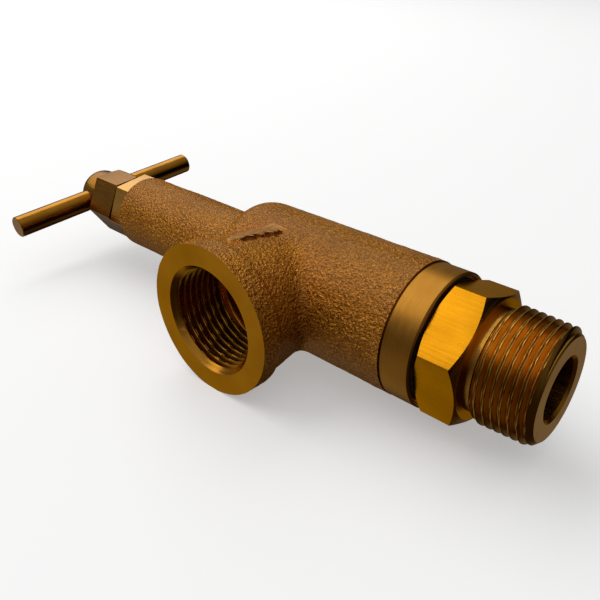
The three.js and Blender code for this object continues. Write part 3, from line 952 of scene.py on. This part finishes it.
def adapter_bore():
    """The seat's recess, the nozzle's bore and its chamfered mouth."""
    return revolved("bore", [
        [ADAPTER_INNER - OVERLAP, 0],
        [ADAPTER_INNER - OVERLAP, SEAT_RECESS_RADIUS],
        [SEAT_RECESS_END, SEAT_RECESS_RADIUS],
        [SEAT_RECESS_END, NOZZLE_BORE],
        [INLET_END - BORE_CHAMFER, NOZZLE_BORE],
        [INLET_END + BORE_CHAMFER, NOZZLE_BORE + 2 * BORE_CHAMFER],
        [INLET_END + BORE_CHAMFER, 0],
    ], TURNED)


def inlet_adapter():
    hex_start = GASKET_END + GASKET_PLAY
    adapter = adapter_hexagon(hex_start)
    adapter = combine(adapter, adapter_thread(), "UNION")
    adapter = combine(adapter, adapter_shank(hex_start), "UNION")
    adapter = combine(adapter, adapter_bore(), "DIFFERENCE")
    adapter.name = "inlet_adapter_detailed"
    smooth(adapter, 30)
    return to_frame(adapter, "valve_body", "machined_brass", "inlet_adapter")


# Adjusting screw, bar and locknut -------------------------------------------------------

def screw_head(start):
    """The screw's head, with a domed end and a rounded shoulder."""
    quarter = np.linspace(0, math.pi / 2, 22)
    outline = [[HEAD_END + HEAD_DOME - HEAD_DOME * math.cos(a), HEAD_RADIUS * math.sin(a)] for a in quarter]
    shoulder = (start - HEAD_ROUNDING, HEAD_RADIUS - HEAD_ROUNDING)
    outline += arc(shoulder, HEAD_ROUNDING, 90, 0, 5)
    return revolved("head", outline + [[start, 0]], NUT_BRASS, count=96)


def screw_shank(head_start):
    """The thread, with a chamfer at its tip."""
    def lead(x, radius):
        return np.minimum(radius, SCREW_RADIUS - TIP_CHAMFER + (SCREW_TIP - x))

    return threaded(
        "shank", head_start - OVERLAP, SCREW_TIP, SCREW_RADIUS, SCREW_RADIUS - ADJUST_DEPTH,
        ADJUST_PITCH, NUT_BRASS, count=96, lead=lead)


def ball_socket():
    """The hole in the screw's tip that the thrust ball sits in."""
    return revolved("socket", [
        [SCREW_TIP - SOCKET_DEPTH, 0],
        [SCREW_TIP - SOCKET_DEPTH, SOCKET_RADIUS],
        [SCREW_TIP + OVERLAP, SOCKET_RADIUS],
        [SCREW_TIP + OVERLAP, 0],
    ], NUT_BRASS, count=64)


def adjusting_screw():
    head_start = NUT_START - HEAD_TO_NUT
    screw = combine(screw_head(head_start), screw_shank(head_start), "UNION")
    screw = combine(screw, ball_socket(), "DIFFERENCE")
    hole = bar_solid("bar_hole", BAR_RADIUS + SCREW_CLEARANCE, HEAD_RADIUS * 2, HEAD_RADIUS * 2, 0)
    screw = combine(screw, hole, "DIFFERENCE")
    screw.name = "adjusting_screw_detailed"
    smooth(screw, 35)
    return to_frame(screw, "screw_group", "dark_brass", "adjusting_screw")


def bar_solid(name, radius, near, far, chamfer):
    """A round bar across the screw, with chamfered ends or, for a chamfer of 0, plain ones."""
    side = [[-near, radius], [far, radius]]
    if chamfer > 0:
        side = [[-near, radius - chamfer], [-near + chamfer, radius],
                [far - chamfer, radius], [far, radius - chamfer]]
    bar = revolved(name, [[-near, 0]] + side + [[far, 0]], DARK_BRASS, count=96)
    bar.data.transform(Matrix.Rotation(math.pi / 2, 4, "Z"))
    bar.data.transform(Matrix.Rotation(BAR_TILT, 4, "X"))
    bar.data.transform(Matrix.Translation((BAR_X, 0, 0)))
    return bar


def t_bar():
    bar = bar_solid("t_bar_detailed", BAR_RADIUS, BAR_NEAR_REACH, BAR_FAR_REACH, BAR_CHAMFER)
    smooth(bar, 30)
    return to_frame(bar, "screw_group", "dark_brass", "t_bar")


def nut_stock():
    """The round, chamfered stock that the nut's flats are milled on."""
    face_radius = NUT_STOCK_RADIUS - NUT_CHAMFER * math.sqrt(3)
    stock = revolved("nut_stock", [
        [NUT_START - SLIVER, 0],
        [NUT_START - SLIVER, face_radius],
        [NUT_START + NUT_CHAMFER, NUT_STOCK_RADIUS],
        [NUT_END - NUT_CHAMFER, NUT_STOCK_RADIUS],
        [NUT_END + SLIVER, face_radius],
        [NUT_END + SLIVER, 0],
    ], NUT_BRASS, count=160)
    stock.data.transform(Matrix.Translation((0, -NUT_STOCK_OFFSET, 0)))
    return stock


def nut_hole():
    """The nut's hole, countersunk at both faces."""
    radius = SCREW_RADIUS + SCREW_CLEARANCE
    outer = radius + 2 * NUT_HOLE_CHAMFER
    return revolved("nut_hole", [
        [NUT_START - NUT_HOLE_CHAMFER, 0],
        [NUT_START - NUT_HOLE_CHAMFER, outer],
        [NUT_START + NUT_HOLE_CHAMFER, radius],
        [NUT_END - NUT_HOLE_CHAMFER, radius],
        [NUT_END + NUT_HOLE_CHAMFER, outer],
        [NUT_END + NUT_HOLE_CHAMFER, 0],
    ], NUT_BRASS, count=96)


def locknut():
    nut = hexagon("locknut_detailed", NUT_START, NUT_END, NUT_HEX, NUT_BRASS)
    nut = combine(nut, nut_stock(), "INTERSECT")
    nut = combine(nut, nut_hole(), "DIFFERENCE")
    nut.name = "locknut_detailed"
    smooth(nut, 25)
    return to_frame(nut, "nut", "dark_brass", "locknut")


def ring_piece(name, start, end, radii, material, count=128):
    """A flat ring with rounded outer edges."""
    inner, outer = radii
    ridge = outer - RING_ROUNDING
    profile = [[start, inner]]
    profile += arc((start + RING_ROUNDING, ridge), RING_ROUNDING, 180, 90, 5)
    profile += arc((end - RING_ROUNDING, ridge), RING_ROUNDING, 90, 0, 5)
    profile += [[end, inner]]
    angle = np.linspace(0, 2 * math.pi, count, endpoint=False)
    points = [(x, r * math.cos(a), r * math.sin(a)) for x, r in profile for a in angle]
    faces = grid_faces(len(profile), count).tolist()
    last = (len(profile) - 1) * count
    for i in range(count):
        j = (i + 1) % count
        faces.append([last + i, last + j, j, i])
    return faced_outward(mesh_object(name, points, faces, [material]))


def locknut_washer():
    washer = ring_piece("locknut_washer_detailed", WASHER_START, WASHER_END, WASHER_RADII, DULL_BRASS)
    smooth(washer, 40)
    return to_frame(washer, "nut_washer", "dull_brass", "locknut_washer")


def adapter_gasket():
    gasket = ring_piece("adapter_gasket_detailed", GASKET_START, GASKET_END, GASKET_RADII, RUBBER)
    smooth(gasket, 50)
    return to_frame(gasket, "valve_body", "black_rubber", "adapter_gasket")


# Spring ---------------------------------------------------------------------------------

def coil_points(first, last):
    """The wire's centre line from one share of the spring's turns to another."""
    start = SPRING_START + WIRE_RADIUS
    end = SPRING_END - WIRE_RADIUS
    open_turns = COILS - 2 * CLOSED_COILS
    open_pitch = (end - start - 2 * CLOSED_COILS * CLOSED_PITCH) / open_turns
    points = []
    for share in np.linspace(first, last, int((last - first) * COILS * COIL_STEPS) + 1):
        turn = share * COILS
        x = start + min(turn, CLOSED_COILS) * CLOSED_PITCH
        x += min(max(turn - CLOSED_COILS, 0), open_turns) * open_pitch
        x += max(turn - COILS + CLOSED_COILS, 0) * CLOSED_PITCH
        angle = 2 * math.pi * turn
        points.append(Vector((x, COIL_RADIUS * math.cos(angle), COIL_RADIUS * math.sin(angle))))
    return points


def wire_mesh(name, points, sides=14):
    """The round wire, swept along the points of a coil about X."""
    rings = []
    for i, point in enumerate(points):
        ahead = points[min(i + 1, len(points) - 1)]
        behind = points[max(i - 1, 0)]
        tangent = (ahead - behind).normalized()
        outward = Vector((0, point.y, point.z)).normalized()
        across = tangent.cross(outward).normalized()
        for side in range(sides):
            angle = 2 * math.pi * side / sides
            rings.append(point + WIRE_RADIUS * (math.cos(angle) * outward + math.sin(angle) * across))
    faces = grid_faces(len(points), sides).tolist()
    faces.append(list(range(sides))[::-1])
    faces.append(list(range(len(rings) - sides, len(rings))))
    return faced_outward(mesh_object(name, rings, faces, [SPRING_STEEL]))


def spring():
    """Two halves that meet at mid-length; the half by the poppet is attached to the valve body."""
    middle = 0.5
    upper = coil_points(0, middle)
    lower = coil_points(middle, 1)
    near_button = smooth(wire_mesh("spring_screw_half", upper), 60)
    to_frame(near_button, None, "spring_steel", "spring")
    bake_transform(near_button)
    near_poppet = smooth(wire_mesh("spring_poppet_half", lower), 60)
    to_frame(near_poppet, "valve_body", "spring_steel", "spring")
    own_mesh(near_poppet)


# Carried-over CAD nodes -----------------------------------------------------------------

def finish_cad_nodes():
    """Finishes for the pieces that keep their CAD shape."""
    finishes = {
        "seat_ring": STEEL,
        "seat_gasket": RUBBER,
        "poppet": THREAD_BRASS,
        "seal_disc": PLASTIC,
        "seal_washer": STEEL,
        "seal_screw": STEEL,
        "guide_ring": PLASTIC,
        "lower_spring_plate": STEEL,
        "spring_button": THREAD_BRASS,
        "button_o_ring": RUBBER,
        "button_backup_ring": PLASTIC,
        "thrust_ball": STEEL,
    }
    for name, material in finishes.items():
        for item in frame["nodes"][name].material_slots:
            item.material = material


# Stage ----------------------------------------------------------------------------------

def camera():
    """The camera, turned by its azimuth, elevation and roll."""
    azimuth, elevation = CAMERA_AZIMUTH, CAMERA_ELEVATION
    back = Vector((
        math.sin(azimuth) * math.cos(elevation),
        -math.cos(azimuth) * math.cos(elevation),
        math.sin(elevation),
    ))
    level = Vector((math.cos(azimuth), math.sin(azimuth), 0))
    upright = back.cross(level)
    right = level * math.cos(CAMERA_ROLL) + upright * math.sin(CAMERA_ROLL)
    up = back.cross(right)
    data = bpy.data.cameras.new("camera")
    data.lens = LENS
    data.sensor_width = SENSOR_WIDTH
    data.shift_x = SHIFT_X
    data.shift_y = SHIFT_Y
    data.clip_start = 0.005
    obj = bpy.data.objects.new("camera", data)
    obj.matrix_world = Matrix((
        (right.x, up.x, back.x, CAMERA_AT[0]),
        (right.y, up.y, back.y, CAMERA_AT[1]),
        (right.z, up.z, back.z, CAMERA_AT[2]),
        (0, 0, 0, 1),
    ))
    bpy.context.scene.collection.objects.link(obj)
    bpy.context.scene.camera = obj
    bpy.context.scene.view_settings.view_transform = "Standard"


def floor():
    """A pale floor that the camera sees. The metal doesn't mirror it, and it casts no shadow."""
    corners = ((-1, -1), (1, -1), (1, 1), (-1, 1))
    points = [(x * FLOOR_REACH, y * FLOOR_REACH, FLOOR_Z) for x, y in corners]
    material, _, shader = new_material("floor", 0.0, 0.9, FLOOR_GREY)
    shader.inputs["Specular IOR Level"].default_value = 0.1
    shader.inputs["Emission Color"].default_value = (1, 1, 1, 1)
    shader.inputs["Emission Strength"].default_value = FLOOR_GLOW
    plane = mesh_object("floor", points, [(0, 1, 2, 3)], [material])
    plane.visible_glossy = False
    plane.visible_shadow = False


def softbox(name, direction, distance, size, radiance):
    """A rectangular light of an even radiance, out along a direction from where the axes cross."""
    outward = Vector(direction).normalized()
    data = bpy.data.lights.new(name, "AREA")
    data.shape = "RECTANGLE"
    data.size, data.size_y = size
    data.energy = radiance * math.pi * size[0] * size[1]
    obj = bpy.data.objects.new(name, data)
    obj.location = Vector((OUTLET_X, 0, 0)) + outward * distance
    obj.rotation_euler = (-outward).to_track_quat("-Z", "Y").to_euler()
    bpy.context.scene.collection.objects.link(obj)


def lobe(tree, where, direction, spread, gain):
    """Radiance to add round a direction. It fades out at an angle of spread degrees."""
    facing = node(tree, "ShaderNodeVectorMath", operation="DOT_PRODUCT")
    facing.inputs[1].default_value = Vector(direction).normalized()
    tree.links.new(where, facing.inputs[0])
    return remap(tree, facing.outputs["Value"], math.cos(math.radians(spread)), 1, 0, gain)


def world_glow():
    """A dim studio, grey overhead and dark below, with its walls. The camera sees a plain backdrop."""
    world = bpy.data.worlds.new("world")
    bpy.context.scene.world = world
    world.use_nodes = True
    tree = world.node_tree
    background = tree.nodes["Background"]
    where = tree.nodes.new("ShaderNodeTexCoord").outputs["Generated"]
    split = tree.nodes.new("ShaderNodeSeparateXYZ")
    tree.links.new(where, split.inputs[0])
    height = remap(tree, split.outputs["Z"], -1, 1, 0, 1)
    total = ramp(tree, height, [
        (0.0, (0.030, 0.018, 0.007)),
        (0.46, (0.035, 0.025, 0.014)),
        (0.56, (0.080, 0.075, 0.070)),
        (1.0, (0.50, 0.50, 0.50)),
    ])
    for direction, spread, gain in WORLD_LOBES:
        total = mix(tree, 1.0, total, lobe(tree, where, direction, spread, gain), "ADD")
        total.node.clamp_result = True
    seen = tree.nodes.new("ShaderNodeLightPath").outputs["Is Camera Ray"]
    tree.links.new(mix(tree, seen, total, BACKDROP), background.inputs["Color"])
    background.inputs["Strength"].default_value = 1.0


def lights():
    world_glow()
    softbox("key", direction=(-0.68, 0.0, 0.73), distance=1.2, size=(1.90, 1.05), radiance=1.50)


camera()
body_casting()
inlet_adapter()
adapter_gasket()
adjusting_screw()
t_bar()
locknut()
locknut_washer()
spring()
finish_cad_nodes()
floor()
lights()
